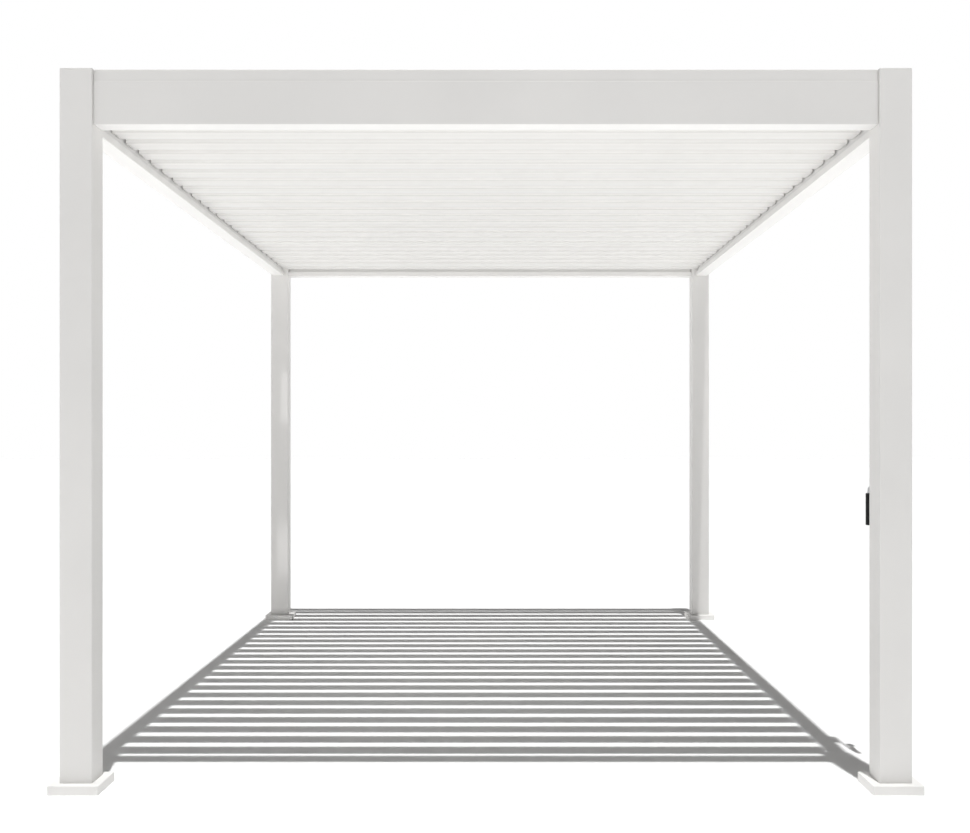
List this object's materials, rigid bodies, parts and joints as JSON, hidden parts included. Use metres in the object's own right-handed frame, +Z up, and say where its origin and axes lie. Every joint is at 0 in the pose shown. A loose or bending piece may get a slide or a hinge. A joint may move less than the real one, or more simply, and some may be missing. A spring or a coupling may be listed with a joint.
{
  "type": "louvred pergola",
  "caption": "Free-standing aluminium pergola with square posts on foot covers, gutter beams and a roof of slim louvres that a hand crank tilts.",
  "frame": {"origin": "on the ground, under the middle of the roof", "axes": "+X to the right across the width, +Y from the front to the rear along the length, +Z up"},
  "size_m": [3.065, 4.065, 2.55],
  "materials": {
    "powder_white": "satin",
    "bare_steel": "satin",
    "grip_black": "matte",
    "nylon_grey": "matte"
  },
  "bodies": {
    "frame": {"post_front_left": "powder_white", "post_front_right": "powder_white", "post_rear_left": "powder_white", "post_rear_right": "powder_white", "post_caps": "powder_white", "foot_front_left": "powder_white", "foot_front_right": "powder_white", "foot_rear_left": "powder_white", "foot_rear_right": "powder_white", "base_plates": "bare_steel", "beam_front": "powder_white", "beam_rear": "powder_white", "beam_left": "powder_white", "beam_right": "powder_white", "pivot_rails": "powder_white", "rail_covers": "powder_white", "pivot_bushes": "nylon_grey", "crank_gearbox": "powder_white"},
    "louvre_01": {"louvre_01": "powder_white"},
    "louvre_02": {"louvre_02": "powder_white"},
    "louvre_03": {"louvre_03": "powder_white"},
    "louvre_04": {"louvre_04": "powder_white"},
    "louvre_05": {"louvre_05": "powder_white"},
    "louvre_06": {"louvre_06": "powder_white"},
    "louvre_07": {"louvre_07": "powder_white"},
    "louvre_08": {"louvre_08": "powder_white"},
    "louvre_09": {"louvre_09": "powder_white"},
    "louvre_10": {"louvre_10": "powder_white"},
    "louvre_11": {"louvre_11": "powder_white"},
    "louvre_12": {"louvre_12": "powder_white"},
    "louvre_13": {"louvre_13": "powder_white"},
    "louvre_14": {"louvre_14": "powder_white"},
    "louvre_15": {"louvre_15": "powder_white"},
    "louvre_16": {"louvre_16": "powder_white"},
    "louvre_17": {"louvre_17": "powder_white"},
    "louvre_18": {"louvre_18": "powder_white"},
    "louvre_19": {"louvre_19": "powder_white"},
    "louvre_20": {"louvre_20": "powder_white"},
    "louvre_21": {"louvre_21": "powder_white"},
    "louvre_22": {"louvre_22": "powder_white"},
    "louvre_23": {"louvre_23": "powder_white"},
    "link_bar": {"link_bar": "bare_steel"},
    "crank": {"crank_eye": "bare_steel", "crank_rod": "bare_steel", "crank_grips": "grip_black"}
  },
  "joints": [
    {"name": "crank_turn", "type": "hinge", "parent": "frame", "child": "crank", "pos_m": [1.50125, -1.66006, 2.2], "axis": [0, 0, 1], "range_deg": [0, 2160]},
    {"name": "louvre_01_tilt", "type": "hinge", "parent": "frame", "child": "louvre_01", "pos_m": [0, -1.82607, 2.41], "axis": [-1, 0, 0], "range_deg": [0, 90]},
    {"name": "louvre_02_tilt", "type": "hinge", "parent": "frame", "child": "louvre_02", "pos_m": [0, -1.66006, 2.41], "axis": [-1, 0, 0], "range_deg": [0, 90]},
    {"name": "louvre_03_tilt", "type": "hinge", "parent": "frame", "child": "louvre_03", "pos_m": [0, -1.49405, 2.41], "axis": [-1, 0, 0], "range_deg": [0, 90]},
    {"name": "louvre_04_tilt", "type": "hinge", "parent": "frame", "child": "louvre_04", "pos_m": [0, -1.32805, 2.41], "axis": [-1, 0, 0], "range_deg": [0, 90]},
    {"name": "louvre_05_tilt", "type": "hinge", "parent": "frame", "child": "louvre_05", "pos_m": [0, -1.16204, 2.41], "axis": [-1, 0, 0], "range_deg": [0, 90]},
    {"name": "louvre_06_tilt", "type": "hinge", "parent": "frame", "child": "louvre_06", "pos_m": [0, -0.99604, 2.41], "axis": [-1, 0, 0], "range_deg": [0, 90]},
    {"name": "louvre_07_tilt", "type": "hinge", "parent": "frame", "child": "louvre_07", "pos_m": [0, -0.83003, 2.41], "axis": [-1, 0, 0], "range_deg": [0, 90]},
    {"name": "louvre_08_tilt", "type": "hinge", "parent": "frame", "child": "louvre_08", "pos_m": [0, -0.66402, 2.41], "axis": [-1, 0, 0], "range_deg": [0, 90]},
    {"name": "louvre_09_tilt", "type": "hinge", "parent": "frame", "child": "louvre_09", "pos_m": [0, -0.49802, 2.41], "axis": [-1, 0, 0], "range_deg": [0, 90]},
    {"name": "louvre_10_tilt", "type": "hinge", "parent": "frame", "child": "louvre_10", "pos_m": [0, -0.33201, 2.41], "axis": [-1, 0, 0], "range_deg": [0, 90]},
    {"name": "louvre_11_tilt", "type": "hinge", "parent": "frame", "child": "louvre_11", "pos_m": [0, -0.16601, 2.41], "axis": [-1, 0, 0], "range_deg": [0, 90]},
    {"name": "louvre_12_tilt", "type": "hinge", "parent": "frame", "child": "louvre_12", "pos_m": [0, 0, 2.41], "axis": [-1, 0, 0], "range_deg": [0, 90]},
    {"name": "louvre_13_tilt", "type": "hinge", "parent": "frame", "child": "louvre_13", "pos_m": [0, 0.16601, 2.41], "axis": [-1, 0, 0], "range_deg": [0, 90]},
    {"name": "louvre_14_tilt", "type": "hinge", "parent": "frame", "child": "louvre_14", "pos_m": [0, 0.33201, 2.41], "axis": [-1, 0, 0], "range_deg": [0, 90]},
    {"name": "louvre_15_tilt", "type": "hinge", "parent": "frame", "child": "louvre_15", "pos_m": [0, 0.49802, 2.41], "axis": [-1, 0, 0], "range_deg": [0, 90]},
    {"name": "louvre_16_tilt", "type": "hinge", "parent": "frame", "child": "louvre_16", "pos_m": [0, 0.66402, 2.41], "axis": [-1, 0, 0], "range_deg": [0, 90]},
    {"name": "louvre_17_tilt", "type": "hinge", "parent": "frame", "child": "louvre_17", "pos_m": [0, 0.83003, 2.41], "axis": [-1, 0, 0], "range_deg": [0, 90]},
    {"name": "louvre_18_tilt", "type": "hinge", "parent": "frame", "child": "louvre_18", "pos_m": [0, 0.99604, 2.41], "axis": [-1, 0, 0], "range_deg": [0, 90]},
    {"name": "louvre_19_tilt", "type": "hinge", "parent": "frame", "child": "louvre_19", "pos_m": [0, 1.16204, 2.41], "axis": [-1, 0, 0], "range_deg": [0, 90]},
    {"name": "louvre_20_tilt", "type": "hinge", "parent": "frame", "child": "louvre_20", "pos_m": [0, 1.32805, 2.41], "axis": [-1, 0, 0], "range_deg": [0, 90]},
    {"name": "louvre_21_tilt", "type": "hinge", "parent": "frame", "child": "louvre_21", "pos_m": [0, 1.49405, 2.41], "axis": [-1, 0, 0], "range_deg": [0, 90]},
    {"name": "louvre_22_tilt", "type": "hinge", "parent": "frame", "child": "louvre_22", "pos_m": [0, 1.66006, 2.41], "axis": [-1, 0, 0], "range_deg": [0, 90]},
    {"name": "louvre_23_tilt", "type": "hinge", "parent": "frame", "child": "louvre_23", "pos_m": [0, 1.82607, 2.41], "axis": [-1, 0, 0], "range_deg": [0, 90]},
    {"name": "link_bar_pivot", "type": "hinge", "parent": "louvre_02", "child": "link_bar", "pos_m": [1.4335, -1.68834, 2.43828], "axis": [-1, 0, 0], "range_deg": [-90, 0]}
  ],
  "couplings": [
    {"joint": "louvre_01_tilt", "follows": "crank_turn", "ratio": 0.041667},
    {"joint": "louvre_02_tilt", "follows": "crank_turn", "ratio": 0.041667},
    {"joint": "louvre_03_tilt", "follows": "crank_turn", "ratio": 0.041667},
    {"joint": "louvre_04_tilt", "follows": "crank_turn", "ratio": 0.041667},
    {"joint": "louvre_05_tilt", "follows": "crank_turn", "ratio": 0.041667},
    {"joint": "louvre_06_tilt", "follows": "crank_turn", "ratio": 0.041667},
    {"joint": "louvre_07_tilt", "follows": "crank_turn", "ratio": 0.041667},
    {"joint": "louvre_08_tilt", "follows": "crank_turn", "ratio": 0.041667},
    {"joint": "louvre_09_tilt", "follows": "crank_turn", "ratio": 0.041667},
    {"joint": "louvre_10_tilt", "follows": "crank_turn", "ratio": 0.041667},
    {"joint": "louvre_11_tilt", "follows": "crank_turn", "ratio": 0.041667},
    {"joint": "louvre_12_tilt", "follows": "crank_turn", "ratio": 0.041667},
    {"joint": "louvre_13_tilt", "follows": "crank_turn", "ratio": 0.041667},
    {"joint": "louvre_14_tilt", "follows": "crank_turn", "ratio": 0.041667},
    {"joint": "louvre_15_tilt", "follows": "crank_turn", "ratio": 0.041667},
    {"joint": "louvre_16_tilt", "follows": "crank_turn", "ratio": 0.041667},
    {"joint": "louvre_17_tilt", "follows": "crank_turn", "ratio": 0.041667},
    {"joint": "louvre_18_tilt", "follows": "crank_turn", "ratio": 0.041667},
    {"joint": "louvre_19_tilt", "follows": "crank_turn", "ratio": 0.041667},
    {"joint": "louvre_20_tilt", "follows": "crank_turn", "ratio": 0.041667},
    {"joint": "louvre_21_tilt", "follows": "crank_turn", "ratio": 0.041667},
    {"joint": "louvre_22_tilt", "follows": "crank_turn", "ratio": 0.041667},
    {"joint": "louvre_23_tilt", "follows": "crank_turn", "ratio": 0.041667},
    {"joint": "link_bar_pivot", "follows": "crank_turn", "ratio": -0.041667}
  ]
}
